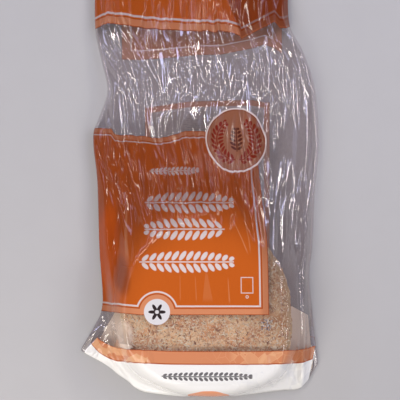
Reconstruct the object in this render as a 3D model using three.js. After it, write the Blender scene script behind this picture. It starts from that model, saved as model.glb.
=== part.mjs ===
// A clear bag of English muffins, partly used, lying on its back with one muffin left at its bottom end.
// Millimetres. +X is the bag's right side, +Y runs from its bottom end to its mouth and +Z is up.
// The bag rests on Z = 0, and the origin is under the middle of its box.

import * as THREE from "three";

// Driving dimensions
const LENGTH = 312; // bottom end to mouth
const WIDTH = 136; // across the widest places of both sides
const EDGE_HEIGHT = 2.4; // front and back film where they lie together
const END_HEIGHT = 11; // film pulled round the muffin at the bottom end
const UNDERCUT = 0.3; // how far the wall leans in under the edge, for each mm of its height

const MUFFIN_X = 2.8;
const MUFFIN_Y = -104.7;
const MUFFIN_RADIUS = 46.5;
const MUFFIN_HEIGHT = 25;
// The muffin isn't quite round: its reach in radii, at angles round it in degrees
const MUFFIN_REACH = [
  [-180, 1.005],
  [-163, 1.015],
  [-150, 1.045],
  [-135, 1.05],
  [-112, 1.02],
  [-90, 1],
  [-66, 1.05],
  [-45, 1.13],
  [-30, 1.12],
  [-19, 1.075],
  [-8, 1.03],
  [4, 1.005],
  [30, 1],
  [90, 1],
  [180, 1.005],
];
const FILM_CLEARANCE = 1.5; // front film over the muffin's face
const SHOULDER = 2.4; // how gently the film bends over the muffin's edge
const SIDE_SLOPE = 2.3; // fall of the film from the muffin to the bag's sides
const MOUTH_SLOPE = 0.45; // fall of the film from the muffin towards the mouth

// Places of the side edges across the bag, each at a place along it
const BOTTOM = -LENGTH / 2;
const MOUTH = LENGTH / 2;
const SIDE = WIDTH / 2;
const LEFT_EDGE = [
  [-132, -SIDE],
  [-125.5, -64],
  [-119, -60.4],
  [-112.5, -57],
  [-104, -55.7],
  [-75, -57.6],
  [-36, -58.8],
  [-10, -61],
  [2, -56.8],
  [15, -52.9],
  [33, -56.6],
  [50, -59.9],
  [90, -59.5],
  [MOUTH, -55],
];
const RIGHT_EDGE = [
  [-138, SIDE - 0.5],
  [-118, 65],
  [-89, 62.6],
  [-75, 64.2],
  [-44, 65.6],
  [-15, SIDE],
  [10, 66.6],
  [24, 63.8],
  [38, 58.6],
  [53, 51.2],
  [90, 51.5],
  [MOUTH, 55],
];
// How far the bottom end curls up towards its corners, each at a share of the width
const CORNER_LIFT = [
  [0, 22.6],
  [0.03, 20],
  [0.085, 15.9],
  [0.12, 12.8],
  [0.16, 8.4],
  [0.2, 5],
  [0.23, 1.8],
  [0.28, 0],
  [0.88, 0],
  [0.925, 1],
  [0.957, 5.5],
  [1, 15],
];
const LIFT_REACH = 62; // how far up the bag the curl is felt

// Height of the puffed film in the middle of the bag, each at a place along it
const PUFF = [
  [-140, 3],
  [-90, 3.6],
  [-45, 9],
  [5, 10],
  [70, 8],
  [120, 6],
  [MOUTH, 4],
];
const EDGE_RISE = 13; // width of the rounded rise at the sides and the bottom end

// Mesh
const ACROSS = 44;
const ALONG = 80;

const smooth = (value) => {
  const share = THREE.MathUtils.clamp(value, 0, 1);
  return share * share * (3 - 2 * share);
};

/** A steady pick between -1 and 1 for each number */
const swing = (number) => {
  const value = Math.sin(number * 12.9898 + 4.1414) * 43758.5453;
  return 2 * (value - Math.floor(value)) - 1;
};

/** Smooth curve through stations of [place, value], in rising order of place */
function through(stations, place) {
  const last = stations.length - 1;
  const held = THREE.MathUtils.clamp(place, stations[0][0], stations[last][0]);
  let index = 0;
  while (index < last - 1 && held > stations[index + 1][0]) index += 1;
  const slopeAt = (station) => {
    const before = stations[Math.max(station - 1, 0)];
    const after = stations[Math.min(station + 1, last)];
    return (after[1] - before[1]) / (after[0] - before[0]);
  };
  const [start, low] = stations[index];
  const [end, high] = stations[index + 1];
  const span = end - start;
  const share = (held - start) / span;
  const ease = smooth(share);
  const leave = share * (1 - share) * (1 - share) * span * slopeAt(index);
  const arrive = share * share * (1 - share) * span * slopeAt(index + 1);
  return low + (high - low) * ease + leave - arrive;
}

/** The higher of two heights, with the corner between them rounded */
const roundedMax = (first, second, width) =>
  (first + second + Math.hypot(first - second, width)) / 2;

/** Long folds in the front film. Each is a ridge, or a furrow where its height is negative */
function makeFolds() {
  const folds = [];
  const add = (x, low, high, lean, width, height) => folds.push({ x, low, high, lean, width, height });

  // Folds down the clear window, close together where the film has been squeezed
  const windowFolds = 11;
  for (let i = 0; i < windowFolds; i += 1) {
    const x = -48 + (106 * (i + 0.5)) / windowFolds + 3 * swing(i);
    const low = -32 + 12 * swing(i + 20);
    const high = 44 + 10 * swing(i + 40);
    add(x, low, high, 0.12 * swing(i + 60), 4.2 + swing(i + 80), 2.1 + 0.8 * swing(i + 100));
  }

  // Furrows that run down into the printed panel
  const panelFurrows = 6;
  for (let i = 0; i < panelFurrows; i += 1) {
    const x = -46 + (72 * (i + 0.5)) / panelFurrows + 2 * swing(i + 120);
    const low = -66 + 12 * swing(i + 140);
    add(x, low, -6, -0.22 + 0.1 * swing(i + 160), 4.5, -2 - 0.6 * swing(i + 180));
  }

  // Pleats from the mouth down to the window
  const mouthPleats = 7;
  for (let i = 0; i < mouthPleats; i += 1) {
    const x = -47 + (94 * (i + 0.5)) / mouthPleats + 3 * swing(i + 200);
    const low = 52 + 12 * swing(i + 220);
    add(x, low, MOUTH + 40, 0.1 * swing(i + 240), 4.5, 2.2 + 0.6 * swing(i + 260));
  }

  // Creases inside the two side edges, and the deep slanting pleat of the upper panel
  add(58.5, -130, 46, 0.02, 3.6, 2.6);
  add(-51.5, -112, -20, -0.03, 4, 2.2);
  add(13, 34, 114, -0.4, 5, -3.4);
  return folds;
}
const FOLDS = makeFolds();

/** Sum of the folds at a place */
function foldHeight(x, y) {
  let total = 0;
  for (const fold of FOLDS) {
    const middle = (fold.low + fold.high) / 2;
    const half = (fold.high - fold.low) / 2;
    const along = 1 - ((y - middle) / half) ** 2;
    if (along <= 0) continue;
    const off = (x - fold.x - fold.lean * (y - middle)) / fold.width;
    total += fold.height * along * Math.exp(-off * off);
  }
  return total;
}

/** Height of the film where it is pulled over the muffin */
function muffinTent(x, y) {
  const right = x - MUFFIN_X;
  const up = y - MUFFIN_Y;
  const angle = THREE.MathUtils.radToDeg(Math.atan2(up, right));
  const distance = Math.hypot(right, up) / through(MUFFIN_REACH, angle);
  const past = distance - (MUFFIN_RADIUS - FILM_CLEARANCE);
  const bend = (past + Math.hypot(past, SHOULDER)) / 2;
  const towardsMouth = smooth(up / Math.max(distance, 1));
  const slope = THREE.MathUtils.lerp(SIDE_SLOPE, MOUTH_SLOPE, towardsMouth);
  return MUFFIN_HEIGHT + FILM_CLEARANCE - slope * bend;
}

/** Place of the front film at shares across and along the bag */
function frontPoint(across, along) {
  const level = BOTTOM + LENGTH * along;
  const curl = (1 - Math.min((level - BOTTOM) / LIFT_REACH, 1)) ** 2;
  const rise = (share) => level + curl * Math.max(through(CORNER_LIFT, share), 0);
  const left = through(LEFT_EDGE, rise(0));
  const right = through(RIGHT_EDGE, rise(1));
  const x = left + (right - left) * across;
  const y = rise(across);

  const fromEdge = Math.min(x - left, right - x, level - BOTTOM);
  const inset = THREE.MathUtils.clamp(fromEdge / EDGE_RISE, 0, 1);
  const round = Math.sqrt(inset * (2 - inset));

  const underMuffin = smooth(1.25 - Math.abs(x - MUFFIN_X) / 40) * smooth(1 - (level - BOTTOM) / 20);
  const edge = EDGE_HEIGHT + (END_HEIGHT - EDGE_HEIGHT) * underMuffin;
  const inside = roundedMax(through(PUFF, y), muffinTent(x, y), 5) + foldHeight(x, y);
  return new THREE.Vector3(x, y, edge + Math.max(inside - edge, 0) * round);
}

/** One closed body: the front film's form, a wall round it and a flat underside */
function bagGeometry() {
  const positions = [];
  const triangles = [];
  const columns = ACROSS + 1;
  for (let j = 0; j <= ALONG; j += 1) {
    for (let i = 0; i <= ACROSS; i += 1) {
      positions.push(frontPoint(i / ACROSS, j / ALONG));
    }
  }
  for (let j = 0; j < ALONG; j += 1) {
    for (let i = 0; i < ACROSS; i += 1) {
      const corner = j * columns + i;
      triangles.push([corner, corner + 1, corner + columns + 1]);
      triangles.push([corner, corner + columns + 1, corner + columns]);
    }
  }

  // The rim runs anticlockwise, seen from above
  const rim = [];
  for (let i = 0; i < ACROSS; i += 1) rim.push(i);
  for (let j = 0; j < ALONG; j += 1) rim.push(j * columns + ACROSS);
  for (let i = ACROSS; i > 0; i -= 1) rim.push(ALONG * columns + i);
  for (let j = ALONG; j > 0; j -= 1) rim.push(j * columns);

  const foot = rim.map((corner, place) => {
    const point = positions[corner];
    const before = positions[rim.at(place - 1)];
    const after = positions[rim[(place + 1) % rim.length]];
    const run = new THREE.Vector2(after.x - before.x, after.y - before.y).normalize();
    const inward = UNDERCUT * point.z;
    positions.push(new THREE.Vector3(point.x - run.y * inward, point.y + run.x * inward, 0));
    return positions.length - 1;
  });
  rim.forEach((corner, place) => {
    const next = (place + 1) % rim.length;
    triangles.push([foot[place], foot[next], rim[next]]);
    triangles.push([foot[place], rim[next], corner]);
  });

  // The flat underside, its faces turned down
  const outline = foot.map((corner) => new THREE.Vector2(positions[corner].x, positions[corner].y));
  for (const [a, b, c] of THREE.ShapeUtils.triangulateShape(outline, [])) {
    triangles.push([foot[a], foot[c], foot[b]]);
  }

  const geometry = new THREE.BufferGeometry().setFromPoints(positions);
  geometry.setIndex(triangles.flat());
  geometry.computeVertexNormals();
  return geometry;
}

const printedFilm = new THREE.MeshStandardMaterial({ color: 0xc76428, roughness: 0.3, metalness: 0 });
const bag = new THREE.Mesh(bagGeometry(), printedFilm);
bag.name = "bag";

const pack = new THREE.Group();
pack.add(bag);

export default pack;
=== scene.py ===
# A clear printed bag with one English muffin left in it, lying on its back.
# Sizes are in millimetres and become metres where a mesh is written.
# +X is the bag's right side, +Y runs from its bottom end to its mouth and +Z is up.
import math
from functools import partialmethod

import bpy
import numpy as np
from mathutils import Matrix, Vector


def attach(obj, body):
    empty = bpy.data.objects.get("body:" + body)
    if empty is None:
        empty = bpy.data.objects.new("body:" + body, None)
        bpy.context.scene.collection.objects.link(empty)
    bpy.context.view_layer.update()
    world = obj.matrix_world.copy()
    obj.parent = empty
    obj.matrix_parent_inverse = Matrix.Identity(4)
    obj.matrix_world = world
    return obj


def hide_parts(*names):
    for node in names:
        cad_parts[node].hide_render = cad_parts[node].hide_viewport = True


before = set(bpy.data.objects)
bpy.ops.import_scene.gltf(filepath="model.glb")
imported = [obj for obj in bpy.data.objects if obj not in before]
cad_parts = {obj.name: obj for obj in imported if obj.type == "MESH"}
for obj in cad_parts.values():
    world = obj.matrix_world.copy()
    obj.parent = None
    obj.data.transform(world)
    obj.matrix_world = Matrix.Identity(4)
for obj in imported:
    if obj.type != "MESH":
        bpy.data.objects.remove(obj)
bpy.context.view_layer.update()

MM = 0.001

# ---- sizes shared with the CAD bag
LENGTH = 312
WIDTH = 136
END_HEIGHT = 11
BOTTOM, MOUTH, SIDE = -LENGTH / 2, LENGTH / 2, WIDTH / 2
MUFFIN_X, MUFFIN_Y = 2.8, -104.7
MUFFIN_RADIUS, MUFFIN_HEIGHT = 46.5, 25  # the film's form round the muffin
# The muffin isn't quite round: its reach in radii, at angles round it in degrees
MUFFIN_REACH = [
    (-180, 1.005), (-163, 1.015), (-150, 1.045), (-135, 1.05), (-112, 1.02), (-90, 1), (-66, 1.05),
    (-45, 1.13), (-30, 1.12), (-19, 1.075), (-8, 1.03), (4, 1.005), (30, 1), (90, 1), (180, 1.005),
]
FILM_CLEARANCE, SHOULDER = 1.5, 2.4
SIDE_SLOPE, MOUTH_SLOPE = 2.3, 0.45
LEFT_EDGE = [
    (-132, -SIDE), (-125.5, -64), (-119, -60.4), (-112.5, -57), (-104, -55.7), (-75, -57.6), (-36, -58.8),
    (-10, -61), (2, -56.8), (15, -52.9), (33, -56.6), (50, -59.9), (90, -59.5), (MOUTH, -55),
]
RIGHT_EDGE = [
    (-138, SIDE - 0.5), (-118, 65), (-89, 62.6), (-75, 64.2), (-44, 65.6), (-15, SIDE),
    (10, 66.6), (24, 63.8), (38, 58.6), (53, 51.2), (90, 51.5), (MOUTH, 55),
]
CORNER_LIFT = [
    (0, 22.6), (0.03, 20), (0.085, 15.9), (0.12, 12.8), (0.16, 8.4), (0.2, 5), (0.23, 1.8), (0.28, 0),
    (0.88, 0), (0.925, 1), (0.957, 5.5), (1, 15),
]
LIFT_REACH = 62
PUFF = [(-140, 3), (-90, 3.6), (-45, 9), (5, 10), (70, 8), (120, 6), (MOUTH, 4)]
EDGE_RISE = 13
SIDE_MIDDLE = 61  # a usual half width of the bag

# ---- sizes of the scene's own forms
LOAF_RADIUS, LOAF_HEIGHT, LOAF_CORNER = 46, 24.2, 9  # the muffin itself
LOAF_X, LOAF_Y = 2.8, -104.2
TOASTED = (43.8, -111.6)  # a golden patch near its edge
SEED_PLACE, OAT_PLACE = (34.8, -113.2, 1.3), (38.4, -126, 0.3)  # x, y and reach on its face
EDGE_HEIGHT = 1.6  # the two films where they lie together
BACK_HEIGHT = 0.35  # back film above the table
LEAST_GAP = 0.8  # between the two films
FOLD_FADE = 5  # the front film's folds fade out over this towards its sides
LOAF_MIDDLE = LOAF_HEIGHT / 2 + BACK_HEIGHT + 0.3  # height of the muffin's middle above the table
FRONT_ACROSS, FRONT_ALONG = 325, 260  # faces of the front film
BACK_ACROSS, BACK_ALONG = 60, 150
# Creases that stand out, as x, y, length, half width, slope, lean, skew
LONG_CREASES = [
    (58.8, -107, 36, 2.6, 0.6, 0.15, 0),
    (56.9, -123, 32, 2.6, 0.5, 0.09, -0.2),
    (58, -78, 34, 2.0, 0.6, -0.06, -0.3),
    (-36, -125, 24, 6, 0.3, -0.5, 0),
    (-54.5, -78, 76, 5.5, 0.34, -0.04, -0.3),
    (-36.7, -50, 34, 3.0, 0.42, -0.64, 0.3),
    (-33, -56, 30, 2.4, 0.46, -0.38, -0.3),
    (-45, -58, 50, 3.6, 0.4, -0.19, 0.4),
    (-12, -50, 36, 2.6, 0.34, -0.3, 0.2),
    (12, -44, 34, 2.6, 0.36, 0.16, 0.2),
    (26.4, -70, 22, 2.2, 0.4, -0.5, 0.1),
    (-5, -36, 34, 2.2, 0.44, -0.2, 0.2),
    (2, -39, 44, 2.8, 0.46, -0.14, -0.2),
    (8.5, -36, 34, 2.4, 0.5, -0.1, 0.2),
    (15, -40, 40, 2.6, 0.44, -0.06, -0.2),
    (-38.3, -38.7, 42, 3.6, 0.6, -0.21, 0.2),
    (-24.6, -57, 27, 2.8, 0.56, -0.36, 0),
    (-9.3, -50, 22, 2.4, 0.56, -0.24, 0.2),
    (21.6, -59, 38, 3.8, 0.5, -0.37, -0.2),
]
LONG_HOLLOWS = [(-47.5, -86, 46, 6, 0.26, 0, 0)]
CREST_ROUNDING = 0.15  # share of a fold's half width
# Rolled folds of the clear right side, as x, low, high, lean, width, height
ROLLED_FOLDS = [
    (58, -164, -56, 0.01, 2.7, 6.4),
    (44, -92, -22, -0.05, 6, 2.6),
]
# Random folds of the front film, in the order in which they are drawn:
# kind, count, range across, range along, lengths, half widths, slopes, lean, spread of the lean
RIDGE, FURROW = 1, -1
FOLD_AREAS = [
    # the upper printed panel, up to the mouth
    (RIDGE, 60, (-58, 40), (52, 150), (26, 80), (1.4, 4.0), (0.2, 0.56), 0.02, 0.07),
    (FURROW, 34, (-58, 40), (52, 150), (18, 56), (1.0, 2.6), (0.2, 0.5), 0.02, 0.07),
    # the clear window, most of all where it was squeezed
    (RIDGE, 34, (-30, 60), (-8, 52), (22, 58), (1.8, 5.0), (0.28, 0.74), 0.03, 0.07),
    (FURROW, 16, (-30, 60), (-8, 52), (14, 36), (1.4, 3.4), (0.3, 0.74), 0.03, 0.07),
    (RIDGE, 30, (-26, 46), (2, 28), (8, 17), (1.8, 3.6), (0.4, 0.9), 0, 0.5),
    (FURROW, 12, (-26, 46), (0, 28), (7, 15), (1.4, 3.0), (0.4, 0.9), 0, 0.6),
    # slanting folds of its left side
    (RIDGE, 24, (-60, -26), (-8, 44), (22, 60), (1.6, 4.2), (0.3, 0.74), -0.42, 0.07),
    (FURROW, 10, (-60, -26), (-8, 44), (14, 40), (1.2, 2.8), (0.34, 0.74), -0.42, 0.07),
    # long folds down the clear right side
    (RIDGE, 22, (40, 66), (-116, 44), (30, 76), (1.8, 4.4), (0.32, 0.74), 0.02, 0.07),
    (FURROW, 12, (40, 66), (-116, 44), (16, 46), (1.2, 2.6), (0.3, 0.7), 0.02, 0.07),
    (RIDGE, 14, (34, 56), (-96, -40), (20, 50), (1.6, 4.0), (0.3, 0.66), 0.1, 0.16),
    # darts that run down into the main panel
    (FURROW, 30, (-56, 34), (-42, -14), (28, 66), (1.4, 4.0), (0.36, 0.76), -0.18, 0.14),
    (RIDGE, 70, (-56, 34), (-44, -10), (8, 32), (0.8, 2.0), (0.36, 0.76), -0.1, 0.2),
    (RIDGE, 22, (-56, 34), (-100, -50), (26, 60), (1.6, 3.6), (0.1, 0.26), -0.1, 0.14),
    (RIDGE, 46, (-34, 36), (-66, -30), (14, 34), (0.8, 2.2), (0.24, 0.5), -0.06, 0.22),
    # the strip and the white bottom end, in all directions
    (RIDGE, 16, (-50, -26), (-144, -126), (10, 22), (1.6, 4.0), (0.2, 0.4), -0.5, 0.5),
    (RIDGE, 18, (12, 56), (-152, -128), (10, 24), (1.2, 2.8), (0.16, 0.36), 0, 0.8),
    (FURROW, 10, (14, 56), (-152, -132), (10, 24), (1.0, 2.2), (0.14, 0.3), 0, 0.7),
    # corners of the bottom end
    (RIDGE, 14, (-66, -50), (-140, -112), (10, 26), (0.9, 2.2), (0.3, 0.6), 0.5, 0.07),
    (RIDGE, 16, (50, 67), (-150, -116), (10, 28), (0.9, 2.2), (0.24, 0.5), -0.06, 0.07),
    # short creases across the clear window, leaning to both sides
    (RIDGE, 26, (-44, 56), (0, 50), (9, 26), (0.9, 2.2), (0.4, 0.8), 0.5, 0.5),
    (RIDGE, 22, (-44, 56), (0, 50), (9, 24), (0.9, 2.0), (0.4, 0.8), -0.7, 0.5),
]
# Heights in metres where flour from the muffin's rim dulls the film: from its foot, to its face
DUST_FROM, DUST_TO = (0.013, 0.018), (0.0256, 0.0263)
DUST_END = (-0.088, -0.074)  # and where it ends towards the mouth
FACET_SCALE = 0.19  # facets of crumpled film for each millimetre
# Painted highlights of faint straight taut-film folds on the main panel: top, foot, half width at each,
# strength
TAUT_FOLD_HIGHLIGHTS = [
    ((3.6, -87), (4.5, -107), 0.2, 3.2, 0.08),
    ((16.1, -91), (17, -107.5), 0.15, 0.4, 0.2),
    ((-2.8, -90), (-2, -106.5), 0.15, 0.3, 0.14),
    ((-11.5, -89), (-11.3, -106.5), 0.15, 0.3, 0.12),
    ((19.1, -55.4), (28.4, -79.5), 0.15, 0.4, 0.2),
    ((27.6, -50), (29.4, -79), 0.15, 0.4, 0.14),
    ((-44, -46), (-42, -84), 0.2, 1.4, 0.1),
]
CAMERA_HEIGHT = 300
CAMERA_Y = -47.3
VIEW_WIDTH = 230  # what the camera sees of the table
LIGHT_AIM = Vector((0, -0.04, 0))
WARM, COOL = (1.0, 0.93, 0.84), (0.62, 0.66, 1.0)
# Studio lights: name, place and size in metres, radiance, tint
LIGHTS = [
    ("key", (-0.22, -0.42, 0.3), (0.34, 0.22), 5.0, WARM),
    ("left_sky", (-0.54, 0.08, 0.36), (0.9, 0.42), 0.2, COOL),
    ("right_sky", (0.5, 0.08, 0.46), (0.9, 0.42), 0.6, COOL),
    ("left_window", (-0.5, 0.22, 0.33), (0.5, 0.05), 6.5, COOL),
    ("right_window", (0.38, 0.22, 0.45), (0.5, 0.045), 7, COOL),
    ("left_thin", (-0.34, 0.18, 0.51), (0.5, 0.018), 40, WARM),
    ("right_thin", (0.48, 0.18, 0.35), (0.5, 0.018), 40, WARM),
    ("left_low", (-0.42, -0.22, 0.42), (0.16, 0.05), 12, WARM),
    ("right_fill", (0.34, -0.3, 0.36), (0.16, 0.12), 2.6, WARM),
    ("right_near", (0.44, -0.13, 0.42), (0.3, 0.03), 10, WARM),
    ("far_sky", (0.05, 0.62, 0.4), (0.5, 0.14), 1.5, COOL),
    ("far_thin", (-0.1, 0.5, 0.46), (0.4, 0.012), 12, WARM),
]


# ---- small helpers
def smooth(value):
    share = np.clip(value, 0, 1)
    return share * share * (3 - 2 * share)


def band(value, start, end, blend):
    """1 between start and end, easing to 0 over blend outside them"""
    return smooth((value - start) / blend + 1) * smooth((end - value) / blend + 1)


def swing(number):
    """A steady pick between -1 and 1 for each number"""
    value = math.sin(number * 12.9898 + 4.1414) * 43758.5453
    return 2 * (value - math.floor(value)) - 1


def through(stations, place):
    """Smooth curve through stations of (place, value), in rising order of place"""
    places, values = np.array(stations, float).T
    slopes = np.gradient(values)
    slopes[1:-1] = (values[2:] - values[:-2]) / (places[2:] - places[:-2])
    slopes[0] = (values[1] - values[0]) / (places[1] - places[0])
    slopes[-1] = (values[-1] - values[-2]) / (places[-1] - places[-2])
    held = np.clip(place, places[0], places[-1])
    index = np.clip(np.searchsorted(places, held) - 1, 0, len(places) - 2)
    span = places[index + 1] - places[index]
    share = (held - places[index]) / span
    leave = share * (1 - share) ** 2 * span * slopes[index]
    arrive = share**2 * (1 - share) * span * slopes[index + 1]
    return values[index] + (values[index + 1] - values[index]) * smooth(share) + leave - arrive


def cloud(x, y, seed):
    """Smooth noise between -1 and 1, with lumps one unit across"""
    size = 256
    grid = np.random.default_rng(seed).uniform(-1, 1, (size, size))
    column, row = np.floor(x).astype(int), np.floor(y).astype(int)
    across, along = smooth(x - column), smooth(y - row)

    def pick(i, j):
        return grid[(row + j) % size, (column + i) % size]

    low = pick(0, 0) * (1 - across) + pick(1, 0) * across
    high = pick(0, 1) * (1 - across) + pick(1, 1) * across
    return low * (1 - along) + high * along


def crease(x, y, seed):
    """Noise with sharp crests, between -1 and 1"""
    return 1 - 2.6 * np.abs(cloud(x, y, seed))


# ---- form of the film
def make_folds():
    """The large folds, as in the CAD bag: x, low, high, lean, width, height"""
    folds = []
    window_folds = 11
    for i in range(window_folds):
        x = -48 + 106 * (i + 0.5) / window_folds + 3 * swing(i)
        low, high = -32 + 12 * swing(i + 20), 44 + 10 * swing(i + 40)
        folds.append((x, low, high, 0.12 * swing(i + 60), 4.2 + swing(i + 80), 2.1 + 0.8 * swing(i + 100)))
    panel_furrows = 6
    for i in range(panel_furrows):
        x = -46 + 72 * (i + 0.5) / panel_furrows + 2 * swing(i + 120)
        low = -66 + 12 * swing(i + 140)
        folds.append((x, low, -6, -0.22 + 0.1 * swing(i + 160), 4.5, -2 - 0.6 * swing(i + 180)))
    mouth_pleats = 7
    for i in range(mouth_pleats):
        x = -47 + 94 * (i + 0.5) / mouth_pleats + 3 * swing(i + 200)
        low = 52 + 12 * swing(i + 220)
        folds.append((x, low, MOUTH + 40, 0.1 * swing(i + 240), 4.5, 2.2 + 0.6 * swing(i + 260)))
    folds.append((58.5, -130, 46, 0.02, 3.6, 2.6))
    folds.append((-51.5, -112, -20, -0.03, 4, 2.2))
    folds.append((13, 34, 114, -0.4, 5, -3.4))
    return folds


def fold_height(x, y, folds):
    total = np.zeros_like(x)
    for at, low, high, lean, width, height in folds:
        middle, half = (low + high) / 2, (high - low) / 2
        along = np.clip(1 - ((y - middle) / half) ** 2, 0, None)
        total += height * along * np.exp(-(((x - at - lean * (y - middle)) / width) ** 2))
    return total


def muffin_reach(angle):
    return through(MUFFIN_REACH, np.degrees(angle))


def muffin_tent(x, y, mouth_slope=MOUTH_SLOPE):
    """Height of the film where it is pulled over the muffin"""
    right, up = x - MUFFIN_X, y - MUFFIN_Y
    distance = np.hypot(right, up) / muffin_reach(np.arctan2(up, right))
    past = distance - (MUFFIN_RADIUS - FILM_CLEARANCE)
    bend = (past + np.hypot(past, SHOULDER)) / 2
    towards_mouth = smooth(up / np.maximum(distance, 1))
    slope = SIDE_SLOPE + (mouth_slope - SIDE_SLOPE) * towards_mouth
    return MUFFIN_HEIGHT + FILM_CLEARANCE - slope * bend


def scatter_folds(pick, count, x_range, y_range, length, half_width, slope, lean, spread):
    """Random long folds of one area of film: rows of x, y, length, half width, slope, lean, skew"""
    draw = pick.uniform
    return np.stack([
        draw(*x_range, count), draw(*y_range, count), draw(*length, count), draw(*half_width, count),
        draw(*slope, count), lean + draw(-spread, spread, count), draw(-0.45, 0.45, count),
    ], axis=1)


def spindles(x, y, folds):
    """Height of nearly sharp folds that widen and narrow again along their length: the highest counts"""
    height = np.zeros_like(x)
    for at, middle, length, half_width, slope, lean, skew in folds:
        off = x - at - lean * (y - middle)
        near = (np.abs(y - middle) < length / 2) & (np.abs(off) < 1.5 * half_width)
        width = half_width * np.cos(np.pi * (y[near] - middle) / length)
        flank = np.hypot(off[near] / (1 + skew * np.sign(off[near])), CREST_ROUNDING * half_width)
        height[near] = np.maximum(height[near], slope * (width - flank))
    return height


def make_front_folds():
    """Ridges and furrows of the front film"""
    pick = np.random.default_rng(51)
    folds = {RIDGE: [np.array(LONG_CREASES)], FURROW: [np.array(LONG_HOLLOWS)]}
    for kind, *area in FOLD_AREAS:
        folds[kind].append(scatter_folds(pick, *area))
    return np.concatenate(folds[RIDGE]), np.concatenate(folds[FURROW])


def wrinkles(x, y):
    """Fine folds of the front film"""
    ridges, furrows = FRONT_FOLDS
    left, right = through(LEFT_EDGE, y), through(RIGHT_EDGE, y)
    share = (x - left) / (right - left)  # the folds follow the bag's sides
    beside = 0.4 + 0.6 * smooth(np.abs(2 * share - 1))
    level_x = x + beside * (SIDE_MIDDLE * (2 * share - 1) - x)
    off_muffin = smooth((np.hypot(x - MUFFIN_X, y - MUFFIN_Y) - MUFFIN_RADIUS + 8) / 10)
    beside_middle = smooth((np.abs(x - MUFFIN_X) - 14) / 14)
    loose_end = np.maximum(smooth((-132 - y) / 8), beside_middle * smooth((-121 - y) / 7))
    off_muffin = np.maximum(off_muffin, 0.8 * loose_end)
    folds = spindles(level_x, y, ridges) - spindles(level_x, y, furrows)
    ripple = 0.12 * crease(x / 9, y / 40, 11)
    return (folds + ripple) * (0.2 + 0.8 * off_muffin)


def end_height(x, from_end):
    """Height of the film's edge, which is pulled up round the muffin at the bottom end"""
    under_muffin = smooth(1.25 - np.abs(x - MUFFIN_X) / 40) * smooth(1 - from_end / 20)
    return EDGE_HEIGHT + (END_HEIGHT - EDGE_HEIGHT) * under_muffin


def front_surface(across, along):
    """Places of the front film, for shares across and along the bag"""
    level = BOTTOM + LENGTH * along
    curl = (1 - np.minimum((level - BOTTOM) / LIFT_REACH, 1)) ** 2
    left_rise = level + curl * CORNER_LIFT[0][1]
    right_rise = level + curl * CORNER_LIFT[-1][1]
    left, right = through(LEFT_EDGE, left_rise), through(RIGHT_EDGE, right_rise)
    x = left + (right - left) * across
    y = level + curl * np.maximum(through(CORNER_LIFT, across), 0)
    from_edge = np.minimum(np.minimum(x - left, right - x), level - BOTTOM)
    inset = np.clip(from_edge / EDGE_RISE, 0, 1)
    rounding = np.sqrt(inset * (2 - inset))
    edge = end_height(x, level - BOTTOM)
    puff, tent = through(PUFF, y), muffin_tent(x, y)
    puffed = (puff + tent + np.hypot(puff - tent, 5)) / 2 + fold_height(x, y, FOLDS + ROLLED_FOLDS)
    z = edge + np.maximum(puffed - edge, 0) * rounding + wrinkles(x, y) * smooth(from_edge / FOLD_FADE)
    lowest = np.maximum(BACK_HEIGHT + LEAST_GAP, muffin_tent(x, y, SIDE_SLOPE))
    return x, y, np.maximum(z, lowest)


FOLDS = make_folds()
FRONT_FOLDS = make_front_folds()

# ---- where the print lies on the film
PANEL_RIGHT, PANEL_BOTTOM, PANEL_TOP = 39.5, -113.4, -8
UPPER_EDGE = 50
RIM_LEVEL = -173.5  # print at the rim of the bottom end
END_SPOT, END_SPOT_WIDE, END_SPOT_HIGH = (4.9, RIM_LEVEL + 4.3), 12, 11.5
STRIP_TOP, STRIP_BOTTOM = -134.7, -142.2
# How the film's folds carry the straight printed edges up or down, at places across: front film
PANEL_TOP_SHIFT = [
    (-61, 2.1), (-51.2, 2.1), (-48.9, -1.6), (-31, -2.5), (-22.4, -3.6), (-12, -0.8), (-8.6, 0.4), (20, 0),
]
UPPER_SHIFT = [
    (-61, 0.5), (-53.5, 4.5), (-42.6, 3.4), (-38, 2.2), (-11.5, 0.2), (-0.6, 0),
    (15.5, -0.5), (23.2, -2.8), (23.6, -4.7), (42.8, 5.2), (45.8, 2), (50.5, 2.3),
]
STRIP_SHIFT = [
    (-66, 17), (-64, 14.6), (-62.3, 12.3), (-59.3, 8.7), (-56.1, 6.2), (-51.3, 3.9), (-46.2, 2.5),
    (-32.2, 1.3), (-15, 0.5), (40, 0.5), (47.7, 0.85), (58.6, 1.7), (65.8, 4),
]
FOOT_SHIFT = [(-61, 2.6), (-55.8, 2.3), (-45, 1), (-34, 0)]
# and back film
BACK_UPPER_SHIFT = [
    (-48, -2.2), (-34.5, -2.6), (-19, -1.5), (-0.6, 0.4), (11.5, 0.4),
    (30, 4.1), (36.8, 6.3), (42.5, 4.3), (46.6, 1.4),
]
BACK_INFO_SHIFT = [(-30.5, -4.5), (-6.3, -0.9), (30, 0), (36.8, -1.3)]
# How far the film's shape moves the panel's right edge in, at places along
FAN_SHIFT = [(-113, -0.2), (-87, 0.2), (-69.7, 0.7), (-32.9, 6.1), (-18, 7.2), (-8, 7.8)]
FAN_MIDDLE = -15  # what stays in its place across


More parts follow.
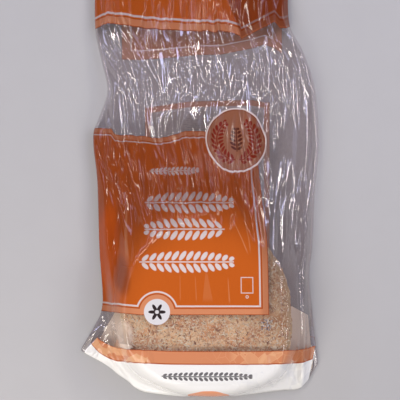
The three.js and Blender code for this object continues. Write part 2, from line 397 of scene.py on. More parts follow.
def print_place(x, y, z, detail, is_front):
    """Where each point of the film lies on its flat print"""
    spread = 1 / (1 - z / CAMERA_HEIGHT)
    across = x * spread
    along = CAMERA_Y + (y - CAMERA_Y) * spread
    shift = np.interp(across, *zip(*PANEL_TOP_SHIFT)) * band(along, -12, -2, 22)
    shift += np.interp(across, *zip(*UPPER_SHIFT)) * smooth((along - 24) / 22)
    at_left = smooth((-44 - across) / 8)
    shift += np.interp(across, *zip(*FOOT_SHIFT)) * band(along, -116, -102, 8)
    shift += through(STRIP_SHIFT, across) * smooth((8 * at_left - 124 - along) / (9 - 3 * at_left))
    back_shift = np.interp(across, *zip(*BACK_UPPER_SHIFT)) * smooth((along - 22) / 12)
    back_shift += np.interp(across, *zip(*BACK_INFO_SHIFT)) * band(along, 0, 14, 12)
    fan = np.interp(along, *zip(*FAN_SHIFT)) * smooth((30 - along) / 20) * smooth((along + 127) / 12)
    fan = fan * (across - FAN_MIDDLE) / (PANEL_RIGHT - FAN_MIDDLE)
    across = across + is_front * (fan + 0.32 * detail)
    along = along - np.where(is_front, shift - 0.42 * detail, back_shift)
    return across, along


# ---- meshes
def primitive(name, operator, **sizes):
    """A new primitive with a name, and nothing else selected"""
    bpy.ops.object.select_all(action="DESELECT")
    operator(**sizes)
    piece = bpy.context.object
    piece.name = piece.data.name = name
    return piece


def corners(piece, what="co"):
    """Places of a piece's corners, or their normals"""
    values = np.empty(len(piece.data.vertices) * 3)
    piece.data.vertices.foreach_get(what, values)
    return values.reshape(-1, 3)


def new_grid(name, across, along):
    """A flat grid of quads, and the shares across and along of its corners"""
    add_grid = bpy.ops.mesh.primitive_grid_add
    grid = primitive(name, add_grid, x_subdivisions=across, y_subdivisions=along, size=2)
    places = corners(grid)
    return grid, (places[:, 0] + 1) / 2, (places[:, 1] + 1) / 2


def move_corners(piece, x, y, z):
    """Puts the corners of a piece at places in millimetres"""
    places = np.stack([x, y, z], axis=1) * MM
    piece.data.vertices.foreach_set("co", places.ravel())
    piece.data.update()


def wrap_end(across, along, x, y, z):
    """Lays the print flat round the steep bottom end, where seen from above it would be squeezed"""
    rows = (FRONT_ALONG + 1, FRONT_ACROSS + 1)
    count = rows[0] * rows[1]
    steps = [np.diff(each[:count].reshape(rows), axis=0) for each in (x, y, z)]
    run = np.zeros(rows)
    run[1:] = np.cumsum(np.sqrt(sum(step**2 for step in steps)), axis=0)
    on_end = band(across[:count], -12, 24, 14) * smooth((-152 - along[:count]) / 3)
    along = along.copy()
    along[:count] += on_end * (np.minimum(along[:count], RIM_LEVEL + run.ravel()) - along[:count])
    return along


def write_print(film):
    """Stores the print's places as a UV map, and gives the back film its own finish"""
    x, y, z = corners(film).T / MM
    from_side = np.minimum(x - through(LEFT_EDGE, y), through(RIGHT_EDGE, y) - x)
    detail = wrinkles(x, y) * smooth(from_side / FOLD_FADE)
    front_across, front_along = print_place(x, y, z, detail, True)
    back_across, back_along = print_place(x, y, z, detail, False)
    front_along = wrap_end(front_across, front_along, x, y, z)

    corner_of = np.empty(len(film.data.loops), dtype=np.int32)
    film.data.loops.foreach_get("vertex_index", corner_of)
    front_faces, back_faces = FRONT_ACROSS * FRONT_ALONG, BACK_ACROSS * BACK_ALONG
    loop = np.arange(len(corner_of))
    on_back = (loop >= 4 * front_faces) & (loop < 4 * (front_faces + back_faces))
    across = np.where(on_back, back_across[corner_of], front_across[corner_of])
    along = np.where(on_back, back_along[corner_of], front_along[corner_of])

    # The narrow wall round the bottom end carries the front print on, down to the table
    from_back = corner_of >= (FRONT_ACROSS + 1) * (FRONT_ALONG + 1)
    wall_foot = from_back & (loop >= 4 * (front_faces + back_faces)) & (y[corner_of] < BOTTOM + 30)
    wrapped = RIM_LEVEL - end_height(x[corner_of], 0)
    along = np.where(wall_foot, np.minimum(along - 3, wrapped), along)
    film.data.uv_layers.new(name="print").data.foreach_set("uv", np.stack([across, along], axis=1).ravel())

    face = np.arange(len(film.data.polygons))
    is_back = (face >= front_faces) & (face < front_faces + back_faces)
    film.data.materials.append(front_film_finish())
    film.data.materials.append(back_film_finish())
    film.data.polygons.foreach_set("material_index", is_back.astype(np.int32))


def make_film():
    """One closed skin: the front film, the back film and the narrow strip that joins them"""
    front, across, along = new_grid("film", FRONT_ACROSS, FRONT_ALONG)
    move_corners(front, *front_surface(across, along))

    back, across, along = new_grid("back", BACK_ACROSS, BACK_ALONG)
    margin = 0.02  # the back film ends a little inside the front film
    x, y, _ = front_surface(margin + (1 - 2 * margin) * across, margin / 2 + (1 - margin) * along)
    off_muffin = smooth((np.hypot(x - MUFFIN_X, y - MUFFIN_Y) - MUFFIN_RADIUS) / 10)
    ripple = np.clip(0.5 + 0.5 * crease(x / 9, y / 30, 21), 0, 1)
    move_corners(back, x, y, BACK_HEIGHT + 0.9 * ripple * off_muffin * smooth((y + 130) / 20))
    bpy.ops.object.mode_set(mode="EDIT")
    bpy.ops.mesh.select_all(action="SELECT")
    bpy.ops.mesh.flip_normals()
    bpy.ops.object.mode_set(mode="OBJECT")

    bpy.ops.object.select_all(action="DESELECT")
    front.select_set(True)
    back.select_set(True)
    bpy.context.view_layer.objects.active = front
    bpy.ops.object.join()
    bpy.ops.object.mode_set(mode="EDIT")
    bpy.ops.mesh.select_mode(type="EDGE")
    bpy.ops.mesh.select_all(action="DESELECT")
    bpy.ops.mesh.select_non_manifold(
        extend=False, use_wire=False, use_multi_face=False, use_non_contiguous=False, use_verts=False
    )
    bpy.ops.mesh.bridge_edge_loops()
    bpy.ops.mesh.select_all(action="SELECT")
    bpy.ops.mesh.normals_make_consistent(inside=False)
    bpy.ops.mesh.select_mode(type="VERT")
    bpy.ops.object.mode_set(mode="OBJECT")
    bpy.ops.object.shade_smooth()

    write_print(front)
    return front


def muffin_profile(run):
    """Radius and height above the middle, for a distance run along the half section"""
    corner = LOAF_CORNER
    flat = LOAF_RADIUS - corner
    half = LOAF_HEIGHT / 2
    turn = np.clip((run - flat) / corner, 0, math.pi / 2)
    radius = np.minimum(run, flat) + corner * np.sin(turn)
    drop = corner * (1 - np.cos(turn)) + np.maximum(run - flat - corner * math.pi / 2, 0)
    return radius, half - drop


def make_muffin():
    """A round flat loaf, from a cube whose faces are drawn round"""
    muffin = primitive("muffin", bpy.ops.mesh.primitive_cube_add, size=2)
    bpy.ops.object.mode_set(mode="EDIT")
    bpy.ops.mesh.subdivide(number_cuts=95)
    bpy.ops.object.mode_set(mode="OBJECT")
    u, v, w = corners(muffin).T
    disc_x, disc_y = u * np.sqrt(1 - v**2 / 2), v * np.sqrt(1 - u**2 / 2)
    share = np.maximum(np.abs(u), np.abs(v))
    angle = np.arctan2(disc_y, disc_x)
    face_run = LOAF_RADIUS + LOAF_CORNER * (math.pi / 4 - 1)
    side_run = LOAF_CORNER * (math.pi / 4 - 1) + LOAF_HEIGHT / 2
    on_face = np.abs(w) > 0.9999
    run = np.where(on_face, share * face_run, face_run + (1 - np.abs(w)) * side_run)
    radius, height = muffin_profile(run)
    reach = muffin_reach(angle)
    x, y = radius * reach * np.cos(angle), radius * reach * np.sin(angle)
    z = np.where(w < 0, -height, height)
    lumps = 0.35 * cloud(x / 9 + 60, y / 9 + 60, 31) + 0.22 * cloud(x / 3.2 + 90, y / 3.2 + 90, 32)
    lumps += 0.12 * cloud(x / 1.5 + 120, y / 1.5 + 120, 33)
    around = angle * LOAF_RADIUS
    side_share = smooth((run - (LOAF_RADIUS - 7)) / 8)
    side_lumps = 0.35 * cloud(around / 6 + 200, z / 5 + 20, 34)
    side_lumps += 0.25 * cloud(around / 2 + 200, z / 2 + 20, 35)
    seam = 0.9 * np.exp(-((z - 0.8 * cloud(around / 12 + 90, 0.5 + 0 * z, 36)) / 0.9) ** 2)
    inward = side_share * (side_lumps + seam * (0.6 + 0.4 * cloud(around / 5 + 90, 0.5 + 0 * z, 37)))
    x, y = x * (1 - inward / LOAF_RADIUS), y * (1 - inward / LOAF_RADIUS)
    z = z - np.sign(z) * (1 - side_share) * (0.5 + lumps)
    move_corners(muffin, x + LOAF_X, y + LOAF_Y, z + LOAF_MIDDLE)
    bpy.ops.object.shade_smooth()
    muffin.data.materials.append(crust_finish())
    return muffin


def scatter_grains(
    name, count, long_side, seed, finish, muffin, cluster=None, width=(0.3, 0.6), rounds=1, uneven=0.25
):
    """Small grains half sunk in the muffin: all over it, or on its face within reach of one place"""
    pick = np.random.default_rng(seed)
    places, normals = corners(muffin) / MM, corners(muffin, "normal")
    on_face = normals[:, 2] > 0.8
    chance = np.where(on_face, 1.0, 0.08)
    if cluster:
        x, y, radius = cluster
        from_middle = np.hypot(places[:, 0] - x, places[:, 1] - y)
        chance = np.exp(-((from_middle / radius) ** 2)) * on_face
    chosen = pick.choice(len(places), size=count, replace=False, p=chance / chance.sum())
    grain = primitive("grain", bpy.ops.mesh.primitive_ico_sphere_add, subdivisions=rounds, radius=1)
    shape = corners(grain)
    faces = np.array([list(face.vertices) for face in grain.data.polygons])
    bpy.data.objects.remove(grain, do_unlink=True)

    turn = pick.uniform(0, 2 * math.pi, count)
    size = long_side * pick.uniform(0.55, 1.15, count)
    wide = size * pick.uniform(*width, count)
    thick = size * pick.uniform(0.3, 0.5, count)
    normal = normals[chosen]
    side = np.stack([np.cos(turn), np.sin(turn), np.zeros(count)], axis=1)
    side -= normal * (side * normal).sum(1, keepdims=True)
    side /= np.linalg.norm(side, axis=1, keepdims=True)
    other = np.cross(normal, side)
    jitter = pick.uniform(-0.5, 0.5, (count, 2))
    middle = places[chosen] + side * jitter[:, :1] + other * jitter[:, 1:]
    rough = shape[None] * (1 + uneven * pick.uniform(-1, 1, (count, len(shape), 1)))
    points = (
        middle[:, None]
        + side[:, None] * rough[:, :, :1] * size[:, None, None]
        + other[:, None] * rough[:, :, 1:2] * wide[:, None, None]
        + normal[:, None] * rough[:, :, 2:] * thick[:, None, None]
    )
    mesh = bpy.data.meshes.new(name)
    all_faces = (faces[None] + np.arange(count)[:, None, None] * len(shape)).reshape(-1, 3)
    mesh.from_pydata((points.reshape(-1, 3) * MM).tolist(), [], all_faces.tolist())
    grains = bpy.data.objects.new(name, mesh)
    bpy.context.collection.objects.link(grains)
    tone = mesh.attributes.new("tone", "FLOAT", "POINT")
    tone.data.foreach_set("value", np.repeat(pick.uniform(0, 1, count), len(shape)))
    mesh.materials.append(finish)
    return grains


# ---- shader expressions
class Wire:
    """One output of a shader node. Arithmetic on wires adds Math nodes to the same material."""

    def __init__(self, socket):
        self.socket = socket

    def add(self, kind, inputs=None, output=0, stops=None, **settings):
        """Adds any node: settings and ramp stops first, then values or wires for its inputs"""
        tree = self.socket.id_data
        node = tree.nodes.new(kind)
        for name, value in settings.items():
            setattr(node, name, value)
        if stops:
            ramp = node.color_ramp.elements
            while len(ramp) < len(stops):
                ramp.new(0.5)
            for element, (place, tint) in zip(ramp, stops):
                element.position = place
                element.color = (*tint, 1)
        for name, value in (inputs or {}).items():
            if isinstance(value, Wire):
                tree.links.new(value.socket, node.inputs[name])
            else:
                node.inputs[name].default_value = value
        return Wire(node.outputs[output])

    def math(self, operation, *others):
        return self.add("ShaderNodeMath", dict(enumerate([self, *others])), operation=operation)

    def __rsub__(self, other):
        return self.add("ShaderNodeMath", {0: other, 1: self}, operation="SUBTRACT")

    __add__ = __radd__ = partialmethod(math, "ADD")
    __mul__ = __rmul__ = partialmethod(math, "MULTIPLY")
    __sub__ = partialmethod(math, "SUBTRACT")
    __truediv__ = partialmethod(math, "DIVIDE")
    __pow__ = partialmethod(math, "POWER")
    least = partialmethod(math, "MINIMUM")
    most = partialmethod(math, "MAXIMUM")
    size = partialmethod(math, "ABSOLUTE")
    wave = partialmethod(math, "COSINE")
    part = partialmethod(math, "FRACT")  # what is left over from the whole number below
    turn_from = partialmethod(math, "ARCTAN2")

    def ease(self, start, end):
        """0 below start, 1 above end, smooth between them"""
        limits = {"Value": self, "From Min": start, "From Max": end}
        return self.add("ShaderNodeMapRange", limits, interpolation_type="SMOOTHSTEP")

    def over(self, base, tint):
        """base with a tint painted on it where this mask is 1"""
        return self.add("ShaderNodeMix", {"Factor": self, "A": base, "B": tint}, output=2, data_type="RGBA")


def axes_of(place):
    """X, Y and Z of a place, each as a wire"""
    outputs = place.add("ShaderNodeSeparateXYZ", {0: place}).socket.node.outputs
    return [Wire(output) for output in outputs]


def noise(place, scale, detail, **more):
    return place.add("ShaderNodeTexNoise", {"Vector": place, "Scale": scale, "Detail": detail, **more})


def new_material(name):
    """A material without nodes, and a wire to start expressions from"""
    material = bpy.data.materials.new(name)
    material.use_nodes = True
    nodes = material.node_tree.nodes
    nodes.clear()
    return material, Wire(nodes.new("ShaderNodeTexCoord").outputs["Object"])


def finish_with(material, wire):
    output = material.node_tree.nodes.new("ShaderNodeOutputMaterial")
    material.node_tree.links.new(wire.socket, output.inputs["Surface"])
    return material


# ---- colours
def channel(value):
    """One channel of a colour as seen on a screen, 0 to 255, made linear"""
    return ((value / 255 + 0.055) / 1.055) ** 2.4 if value > 10 else value / 255 / 12.92


def colour(red, green, blue):
    return channel(red), channel(green), channel(blue)


def opaque(red, green, blue):
    """The same with full alpha, for a shader's socket"""
    return (*colour(red, green, blue), 1)


# Printed film
ORANGE = opaque(202, 98, 31)
ORANGE_DARK = opaque(172, 76, 26)
ORANGE_SHADE = opaque(96, 36, 14)
LIT_LOBE_ORANGE = opaque(204, 84, 8)
PEACH = opaque(218, 143, 102)
PEACH_BEHIND = opaque(190, 134, 112)
BROWN_BEHIND = opaque(188, 120, 88)
WHITE_INK = opaque(250, 250, 248)
BOUNCE_LIT_CREAM = opaque(252, 238, 220)
PALE_INK = opaque(226, 214, 212)
GREY_INK = opaque(112, 110, 112)
DARK_INK = opaque(52, 42, 44)
RED_INK = opaque(160, 36, 34)
SEAL_BROWN = opaque(200, 144, 114)
FACET_HIGHLIGHT = opaque(248, 204, 158)
SPOT_PEACH = opaque(246, 166, 124)
GREY_FACET_SHADE = opaque(204, 207, 216)
BADGE_WHITE = opaque(228, 226, 229)
PANEL_GREY = opaque(178, 167, 164)
# Clear film
CLEAR_TINT = (0.865, 0.84, 0.855, 1)
CLEAR_HAZE = 0.04
MILK = opaque(240, 222, 207)
# Crust
CRUST_PALE, CRUST_TAN = opaque(255, 219, 172), opaque(212, 156, 115)
CRUST_GOLD, CRUST_BROWN = opaque(232, 160, 98), opaque(148, 99, 78)
CRUST_FLOUR, CRUST_SIDE = opaque(255, 242, 210), opaque(226, 206, 164)
CRUST_TOASTED, CRUST_SHADE = opaque(206, 140, 74), opaque(150, 114, 80)
# Grains: bran specks and their painted shade; then shades from the darkest grain to the palest, each up to
# a share of them
BRAN_SPECK, GRAIN_SHADE = opaque(150, 112, 82), opaque(164, 122, 92)
MEAL_TONES = [
    (0.0, colour(150, 100, 74)), (0.12, colour(206, 148, 108)),
    (0.3, colour(242, 208, 160)), (1.0, colour(255, 247, 222)),
]
FLAKE_TONES = [
    (0.0, colour(132, 88, 66)), (0.07, colour(196, 134, 90)),
    (0.26, colour(252, 228, 182)), (1.0, colour(255, 250, 228)),
]
SEED_TONES = [
    (0.0, colour(78, 76, 82)), (0.5, colour(140, 138, 144)),
    (0.8, colour(236, 236, 240)), (1.0, colour(252, 252, 255)),
]
OAT_TONES = [(0.0, colour(244, 226, 188)), (1.0, colour(250, 236, 206))]
FLOOR_GREYS = (0.5, 0.5, 0.51, 1), (0.52, 0.52, 0.53, 1)

# ---- sizes of the printed shapes
BORDER = 3.6  # width of the panels' peach border
BORDER_LINE = (4.5, 5.45)  # the pale line inside it, from the panel's edge
EMBLEM, ARCH_RADIUS, BADGE_RADIUS = (-24.7, -111.7), 6.6, 7.5
SEAL_MIDDLE, SEAL_RADIUS, SEAL_RING, WREATH_RADIUS = (25.7, -12.9), 18.6, (-0.1, 0.9), 11.6
FRAME_MARK, RING_MARK = (27.1, -96.3), (27.1, -103)
# Ears of wheat: start, kernels, level, half height, pitch
WREATH_EAR, UPRIGHT_EAR = (1.2, 11, WREATH_RADIUS, 4.2, 2.7), (-7, 6, 0, 4, 2.3)
RIGHT_EARS = [(-33, 13, -48.7, 6.2, 4.2), (-35, 13, -82.9, 6.4, 4.2), (-30.5, 12, -30.4, 2.6, 2.6)]
LEFT_EAR = (-15, 11, -64, 6.6, 4.3)
END_EAR = (-22, 18, -149.3, 2.7, 2.9)
# Slanting edges: place across at a level, and lean
STRIP_LEFT, STRIP_RIGHT = (-62.3, -142.2, 0.43), (66.3, -135.1, 0.21)
PLEAT, BACK_END_LEFT = (24.7, 47.6, -0.43), (-49.2, -112.1, 0.57)
# Painted ovals, of shade, light and glare: middle, half width and half height
HOLLOW_SHADE, LIT_LOBE = (-45.4, -91, 6.5, 15), (-54, -74, 8, 32)
GLARE_SMEAR, GLARE_PATCH = (-43.2, -126.5, 6.5, 11), (-42.6, -133.2, 4.2, 2)
BREAD_BEHIND = (3, -110), 50  # where bread backs the print: middle and radius
# The back's upper field and its information panel
UPPER_LEFT, UPPER_RIGHT, UPPER_FOOT, UPPER_BORDER, UPPER_LINE = -44.9, 47, 35.8, 5.2, (5.0, 5.5)
INFO_LEFT, INFO_RIGHT, INFO_FOOT, INFO_TOP, INFO_BORDER, INFO_PITCH = -31.6, 40, -100, 10.2, 3.2, 1.15
BACK_END_TOP, BACK_END_SLANT = -108.3, (-79.2, 0.55)


# ---- printed shapes
def inside(distance, softness=0.22):
    """Mask that is 1 where a distance is positive"""
    return distance.ease(-softness, softness)


def between(distance, start, end):
    return inside(distance - start) * inside(end - distance)


def disc(p, q, middle, radius):
    """Distance inside a circle"""
    return radius - ((p - middle[0]) ** 2 + (q - middle[1]) ** 2) ** 0.5


def past_edge(p, q, at, level, lean):
    """Distance to the right of a slanting edge"""
    return p - at - lean * (q - level)


def oval(p, q, middle_p, middle_q, half_wide, half_high):
    """1 in the middle of an oval, falling to 0 at its edge"""
    return 1 - ((p - middle_p) / half_wide) ** 2 - ((q - middle_q) / half_high) ** 2


def wheat_ear(p, q, start, kernels, level, half, pitch):
    """A lying ear of wheat: slanting kernels on both sides of a stem"""
    length = kernels * pitch
    off = (q - level).size()
    place = (p - start) / pitch - off * 0.55 / pitch
    step = place.part() - 0.5
    taper = (1 - ((p - (start + length / 2)) / (0.56 * length)) ** 2).most(0.05) ** 0.5
    kernel_middle = taper * (0.56 * half)
    kernel = 1 - (step / 0.37) ** 2 - ((off - kernel_middle) / (taper * 0.42 * half)) ** 2
    kernel = inside(kernel, 0.3) * inside(place, 0.02) * inside(kernels - place, 0.02)
    stem = (0.34 - off).least(p - start).least(start + length - p)
    return kernel.most(inside(stem))


def film_surface(start):
    """Gloss of thin film: the share of light thrown back, the finest wrinkles and where flour dulls it"""
    _, along, height = axes_of(start)
    dusty = height.ease(*DUST_FROM) * (1 - height.ease(*DUST_TO)) * (1 - along.ease(*DUST_END))
    facing = start.add("ShaderNodeLayerWeight", {"Blend": 0.5}, output=1)
    squeeze = {"Vector": start, "Scale": (900, 200, 200)}
    stretched = start.add("ShaderNodeMapping", squeeze, vector_type="POINT")
    streaks = noise(stretched, 1.0, 2.0)
    bump = start.add("ShaderNodeBump", {"Height": streaks, "Strength": 0.22, "Distance": 0.0001})
    return (0.1 + 0.7 * facing**4) * (1 - 0.88 * dusty), bump, dusty


def clear_film(start, shine, bump, haze):
    """Clear film: mostly see-through, glossy, with a slight milky haze"""
    through_it = start.add("ShaderNodeBsdfTransparent", {"Color": CLEAR_TINT})
    milk = start.add("ShaderNodeBsdfDiffuse", {"Color": MILK, "Normal": bump})
    gloss = start.add("ShaderNodeBsdfGlossy", {"Color": (1, 1, 1, 1), "Roughness": 0.035, "Normal": bump})
    hazy = start.add("ShaderNodeMixShader", {0: haze, 1: through_it, 2: milk})
    return start.add("ShaderNodeMixShader", {0: shine, 1: hazy, 2: gloss})


def finish_film(material, ink, clear, printed):
    """Clear film, with print where there is ink"""
    paint = clear.add("ShaderNodeBsdfPrincipled", printed)
    return finish_with(material, clear.add("ShaderNodeMixShader", {0: ink, 1: clear, 2: paint}))


def front_film_finish():
    material, start = new_material("printed_front_film")
    place = start.add("ShaderNodeUVMap", uv_map="print")
    p, q, _ = axes_of(place)

    # Main panel: distance inside its edge, with the arch round the emblem at its foot
    panel = (PANEL_RIGHT - p).least(q - PANEL_BOTTOM).least(1.3 * (PANEL_TOP - q))
    panel = panel.least(0 - disc(p, q, EMBLEM, ARCH_RADIUS))
    upper = 0.8 * (q - UPPER_EDGE)
    edge = panel.most(upper)
    ink = inside(edge)
    paint = inside(edge - BORDER).over(PEACH, ORANGE)
    paint = between(edge, BORDER - 0.1, BORDER + 0.3).over(paint, ORANGE_DARK)
    paint = between(edge, -0.5, 0.35).over(paint, ORANGE_DARK)
    paint = between(edge, *BORDER_LINE).over(paint, PALE_INK)

    # Rows of wheat ears, one of them pointing left, an empty frame and a ring
    marks = wheat_ear(0 - p, q, *LEFT_EAR)
    for ear in RIGHT_EARS:
        marks = marks.most(wheat_ear(p, q, *ear))
    frame_mark = (3.6 - (p - FRAME_MARK[0]).size()).least(4.7 - (q - FRAME_MARK[1]).size())
    marks = marks.most(between(frame_mark, 0, 0.45)).most(between(disc(p, q, RING_MARK, 0.9), 0, 0.4))
    paint = (marks * inside(panel - 6.5)).over(paint, PALE_INK)

    # Strip and white end
    strip = (STRIP_TOP - q).least(q - STRIP_BOTTOM)
    below_panel = inside(STRIP_TOP - q)
    white_end = inside(STRIP_BOTTOM - q - 0.3)
    end_width = past_edge(p, q, *STRIP_LEFT).least(0 - past_edge(p, q, *STRIP_RIGHT))
    ink = ink.most(inside(end_width) * below_panel)
    paint = below_panel.over(paint, PEACH)
    paint = between(strip, -0.3, 0.35).over(paint, ORANGE_DARK)
    paint = white_end.over(paint, WHITE_INK)
    # Crumpled film's flat facets: painted highlights on the strip, painted shade on greyer ones in the
    # white end
    cells = {"Vector": place, "Scale": FACET_SCALE}
    facets = place.add("ShaderNodeTexVoronoi", cells, output=1) * 1.0  # a random colour each, as a number
    from_edge = place.add("ShaderNodeTexVoronoi", cells, feature="DISTANCE_TO_EDGE")
    at_left = (-26 - p).ease(0, 5)
    crumpled = at_left.most(p.ease(16, 20) * (50 - p).ease(0, 4) * 0.5)
    pale = (facets + 0.2 * at_left).ease(0.5, 0.53) * crumpled
    paint = (pale * inside(strip - 0.3) * 0.5).over(paint, FACET_HIGHLIGHT)
    paint = (facets.ease(0.54, 0.57) * white_end * p.ease(6, 40) * 0.22).over(paint, GREY_FACET_SHADE)
    # Painted highlights along the facets' edges on the strip
    edge_highlight = (1 - from_edge.ease(0.01, 0.035)) * inside(strip - 0.3) * (p + 6).ease(0, 30)
    paint = (edge_highlight * 0.34).over(paint, FACET_HIGHLIGHT)
    paint = wheat_ear(p, q, *END_EAR).over(paint, GREY_INK)
    spot = 1 - ((p - END_SPOT[0]).size() / END_SPOT_WIDE) ** 3 - ((q - END_SPOT[1]) / END_SPOT_HIGH) ** 2
    paint = inside(spot, 0.04).over(paint, SPOT_PEACH)

    # Round emblem on the panel's foot: a plain rosette
    badge = inside(disc(p, q, EMBLEM, BADGE_RADIUS))
    ink = ink.most(badge)
    paint = badge.over(paint, BADGE_WHITE)
    right, up = p - EMBLEM[0], q - EMBLEM[1]
    six_petals = 3.5 + 1.5 * (up.turn_from(right) * 6).wave()
    rosette = inside(disc(p, q, EMBLEM, six_petals)).least(inside(0 - disc(p, q, EMBLEM, 1.1)))
    paint = rosette.over(paint, DARK_INK)

    # Seal at the panel's upper corner: a brown-peach disc with an ear of wheat in a round wreath
    right, up = 0.93 * (p - SEAL_MIDDLE[0]), q - SEAL_MIDDLE[1]
    from_rim = disc(right, up, (0, 0), SEAL_RADIUS)
    seal, ring = inside(from_rim), between(from_rim, *SEAL_RING)
    ink = ink.most(seal)
    paint = seal.over(paint, SEAL_BROWN)
    paint = ring.over(paint, PALE_INK)
    paint = between(from_rim, SEAL_RING[1], SEAL_RING[1] + 0.4).over(paint, ORANGE_DARK)
    from_foot = right.size().turn_from(0 - up) * WREATH_RADIUS
    paint = wheat_ear(from_foot, (right**2 + up**2) ** 0.5, *WREATH_EAR).over(paint, RED_INK)
    paint = wheat_ear(up, right, *UPRIGHT_EAR).over(paint, DARK_INK)

    # Painted shade where no bread backs the film, in its hollow, at the right and past the slanting pleat
    unbacked_shade = (1 - disc(p, q, *BREAD_BEHIND).ease(-20, 16)) * inside(q - PANEL_BOTTOM + 4)
    paint = (unbacked_shade * (0.68 - inside(upper) * 0.2)).over(paint, ORANGE_SHADE)
    # Painted shade in the hollow beside the muffin
    hollow_shade = oval(p + 0.12 * (q - HOLLOW_SHADE[1]), q, *HOLLOW_SHADE)
    paint = (hollow_shade.ease(0, 0.9) * 0.52).over(paint, ORANGE_SHADE)
    # Painted shade on the panel's right side and at the strip's right end
    paint = (p.ease(33, 38) * inside(q - PANEL_BOTTOM) * 0.3).over(paint, ORANGE_SHADE)
    paint = (p.ease(50, 62) * strip.ease(-0.3, 0.3) * 0.3).over(paint, ORANGE_SHADE)
    # Painted shade past the slanting pleat, where the film tilts away from the light
    past_pleat_shade = past_edge(p, q, *PLEAT).ease(-0.6, 0.8) * upper.ease(0, 1)
    paint = (past_pleat_shade * 0.7).over(paint, ORANGE_SHADE)
    paint = (ring * 0.7).over(paint, PALE_INK)

    # Painted light on the left lobe; painted highlights of faint straight folds where film lies taut over
    # bread
    lit_lobe = oval(p, q, *LIT_LOBE).ease(0, 0.8) * inside(panel - 6)
    paint = (lit_lobe * 0.35).over(paint, LIT_LOBE_ORANGE)
    # Painted highlights of the taut folds
    for top, foot, half_top, half_foot, strength in TAUT_FOLD_HIGHLIGHTS:
        share = (q - top[1]) / (foot[1] - top[1])
        off = (p - top[0] - share * (foot[0] - top[0])).size()
        fold_highlight = inside(half_top + share * (half_foot - half_top) - off, 0.3)
        fold_highlight = fold_highlight * share.ease(0, 0.2) * (1 - share).ease(0, 0.2) * inside(panel)
        paint = (fold_highlight * strength).over(paint, FACET_HIGHLIGHT)

    shine, bump, dusty = film_surface(start)
    printed = {
        "Base Color": paint, "Roughness": 0.07 + 0.3 * dusty,
        "IOR": 1.45, "Specular IOR Level": 0.4, "Normal": bump,
    }
    # Painted glare: milky places of the clear film beside the muffin, and a pale highlight patch above the
    # strip
    painted_glare = oval(p, q, *GLARE_SMEAR).ease(0, 0.8) * (0.22 + 0.4 * facets) + oval(p, q, *GLARE_PATCH).ease(0, 0.5) * 0.4
    clear = clear_film(start, shine, bump, CLEAR_HAZE + 0.02 * dusty + painted_glare)
    return finish_film(material, ink, clear, printed)


def back_film_finish():
    material, start = new_material("printed_back_film")
    p, q, _ = axes_of(start.add("ShaderNodeUVMap", uv_map="print"))

    # Upper field with a peach border, an information panel of grey rows and the white bottom end
    upper = (q - UPPER_FOOT).least(p - UPPER_LEFT).least(UPPER_RIGHT - p)
    ink = inside(upper)
    paint = inside(upper - UPPER_BORDER).over(PEACH_BEHIND, BROWN_BEHIND)
    paint = between(upper, *UPPER_LINE).over(paint, PALE_INK)
    info = (INFO_TOP - q).least(p - INFO_LEFT).least(INFO_RIGHT - p).least(q - INFO_FOOT)
    ink = ink.most(inside(info))
    paint = inside(info).over(paint, PEACH_BEHIND)
    paint = inside(info - INFO_BORDER).over(paint, PANEL_GREY)
    from_row = ((q / INFO_PITCH).part() - 0.5).size()
    breaks = noise(start, 900.0, 0.0).ease(0.4, 0.52)
    dashes = inside(0.22 - from_row, 0.06) * breaks * inside(info - 4.5)
    paint = (dashes * 0.5).over(paint, GREY_INK)
    slant = BACK_END_SLANT[0] - q - BACK_END_SLANT[1] * p
    white_end = inside((BACK_END_TOP - q).least(slant).least(past_edge(p, q, *BACK_END_LEFT)))
    # The white end is painted lighter: its ink more opaque, and cream for warm bounce light from the muffin
    ink = ink.most(white_end) * (white_end * 0.18 + 0.8)
    paint = white_end.over(paint, BOUNCE_LIT_CREAM)

    shine, bump, _ = film_surface(start)
    printed = {"Base Color": paint, "Roughness": 0.3, "IOR": 1.5, "Normal": bump}
    return finish_film(material, ink, clear_film(start, shine, bump, CLEAR_HAZE), printed)


def painted_shade(start):
    """Share of painted shade on the muffin's face: most of all at its right side, and a little along the
    strip
    """
    x, y, _ = axes_of(start)
    right_side = (x * 0.8 + y - (LOAF_X * 0.8 + LOAF_Y) * MM).ease(-0.006, 0.045)
    along_strip = (0.0024 - (y + 0.1265).size()).ease(0, 0.0014) * x.ease(-0.008, 0.002)
    return right_side.most(along_strip * 0.6)


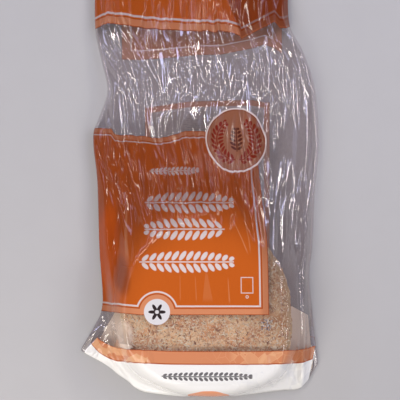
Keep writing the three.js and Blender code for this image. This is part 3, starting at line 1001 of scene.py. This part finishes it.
def crust_finish():
    """Griddled crust: brown patches, paler side, fine meal and bran"""
    material, start = new_material("griddled_crust")

    def layer(scale, detail, shift=0.0):
        place = {"Vector": start, "Location": (shift, shift, 0)}
        moved = start.add("ShaderNodeMapping", place, vector_type="POINT")
        return noise(moved, scale, detail, Roughness=0.6)

    patches, golden = layer(100.0, 3.0), layer(120.0, 2.0, 1.3)
    mottle, fine = layer(330.0, 3.0, 0.4), layer(950.0, 2.0, 0.8)
    base = patches.ease(0.42, 0.62).over(CRUST_PALE, CRUST_TAN)
    base = (golden.ease(0.48, 0.62) * 0.6).over(base, CRUST_GOLD)
    base = (mottle.ease(0.5, 0.64) * 0.72).over(base, CRUST_BROWN)
    base = (fine.ease(0.5, 0.64) * 0.7).over(base, CRUST_FLOUR)
    x, y, height = axes_of(start)
    darkening = disc(x, y, (TOASTED[0] * MM, TOASTED[1] * MM), 0.006)
    base = (darkening.ease(0, 0.003) * 0.7).over(base, CRUST_TOASTED)
    side = ((height - LOAF_MIDDLE * MM) / (LOAF_HEIGHT / 2 * MM)).size()
    pale = (0.87 - side + 0.12 * (patches - 0.5)).ease(0.0, 0.16)
    base = (pale * 0.8).over(base, CRUST_SIDE)
    # Painted shade on the face's right side and along the strip
    base = (painted_shade(start) * 0.7).over(base, CRUST_SHADE)
    rough_height = mottle * 0.6 + fine * 0.4
    bump = start.add("ShaderNodeBump", {"Height": rough_height, "Strength": 0.9, "Distance": 0.0006})
    crust = {"Base Color": base, "Roughness": 0.85, "Normal": bump}
    return finish_with(material, start.add("ShaderNodeBsdfPrincipled", crust))


def meal_finish(name, stops, darkening=0.0):
    """Dry grains, each of its own shade, with painted shade by a share where the muffin's face has it"""
    material, start = new_material(name)
    tone = start.add("ShaderNodeAttribute", output=2, attribute_name="tone")
    shade = tone.add("ShaderNodeValToRGB", {"Fac": tone}, stops=stops)
    shade = (noise(start, 1800.0, 2.0).ease(0.45, 0.75) * 0.3).over(shade, BRAN_SPECK)
    if darkening:
        shade = (painted_shade(start) * darkening).over(shade, GRAIN_SHADE)
    grain = start.add("ShaderNodeBsdfPrincipled", {"Base Color": shade, "Roughness": 0.5})
    return finish_with(material, grain)


def floor_finish():
    material, start = new_material("pale_floor")
    shade = noise(start, 60.0, 3.0).over(*FLOOR_GREYS)
    floor = start.add("ShaderNodeBsdfPrincipled", {"Base Color": shade, "Roughness": 0.9})
    return finish_with(material, floor)


# ---- camera, floor and light
def make_camera():
    data = bpy.data.cameras.new("camera")
    data.sensor_width = 36
    data.lens = 36 * CAMERA_HEIGHT / VIEW_WIDTH
    camera = bpy.data.objects.new("camera", data)
    camera.location = (0, CAMERA_Y * MM, CAMERA_HEIGHT * MM)
    bpy.context.collection.objects.link(camera)
    bpy.context.scene.camera = camera


def soft_light(name, place, size, radiance, tint):
    """A rectangular studio light, turned towards the bag"""
    data = bpy.data.lights.new(name, "AREA")
    data.shape = "RECTANGLE"
    data.size, data.size_y = size
    data.energy = radiance * math.pi * size[0] * size[1]
    data.color = tint
    light = bpy.data.objects.new(name, data)
    bpy.context.collection.objects.link(light)
    light.location = place
    light.rotation_mode = "QUATERNION"
    light.rotation_quaternion = (light.location - LIGHT_AIM).to_track_quat("Z", "Y")


def make_studio():
    floor = primitive("floor", bpy.ops.mesh.primitive_plane_add, size=16, location=(0, 0, 0))
    floor.data.materials.append(floor_finish())
    world = bpy.data.worlds.new("studio")
    world.use_nodes = True
    background = world.node_tree.nodes["Background"].inputs
    background["Color"].default_value = (0.9, 0.9, 1.0, 1)
    background["Strength"].default_value = 0.13
    bpy.context.scene.world = world
    bpy.context.scene.view_settings.view_transform = "Standard"
    for light in LIGHTS:
        soft_light(*light)


# ---- the whole
make_camera()
make_studio()
film = make_film()
muffin = make_muffin()
meal_look = meal_finish("dry_meal", MEAL_TONES, 0.5)
flake_look = meal_finish("bran_flake", FLAKE_TONES, 0.5)
seed_look = meal_finish("grey_seed", SEED_TONES)
oat_look = meal_finish("oat", OAT_TONES)
meal = scatter_grains("meal", 5600, 0.72, 41, meal_look, muffin)
flakes = scatter_grains("flakes", 2400, 1.3, 42, flake_look, muffin, width=(0.18, 0.4))
seeds = scatter_grains("grey_seeds", 34, 0.85, 43, seed_look, muffin, SEED_PLACE)
oat = scatter_grains("oat_flake", 1, 1.7, 44, oat_look, muffin, OAT_PLACE, (0.9, 1), rounds=3, uneven=0.04)

slots = {film: "printed_film", muffin: "crust", meal: "meal", flakes: "meal", seeds: "meal", oat: "meal"}
for piece, slot_name in slots.items():
    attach(piece, "root")
    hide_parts("bag")

bpy.context.view_layer.update()
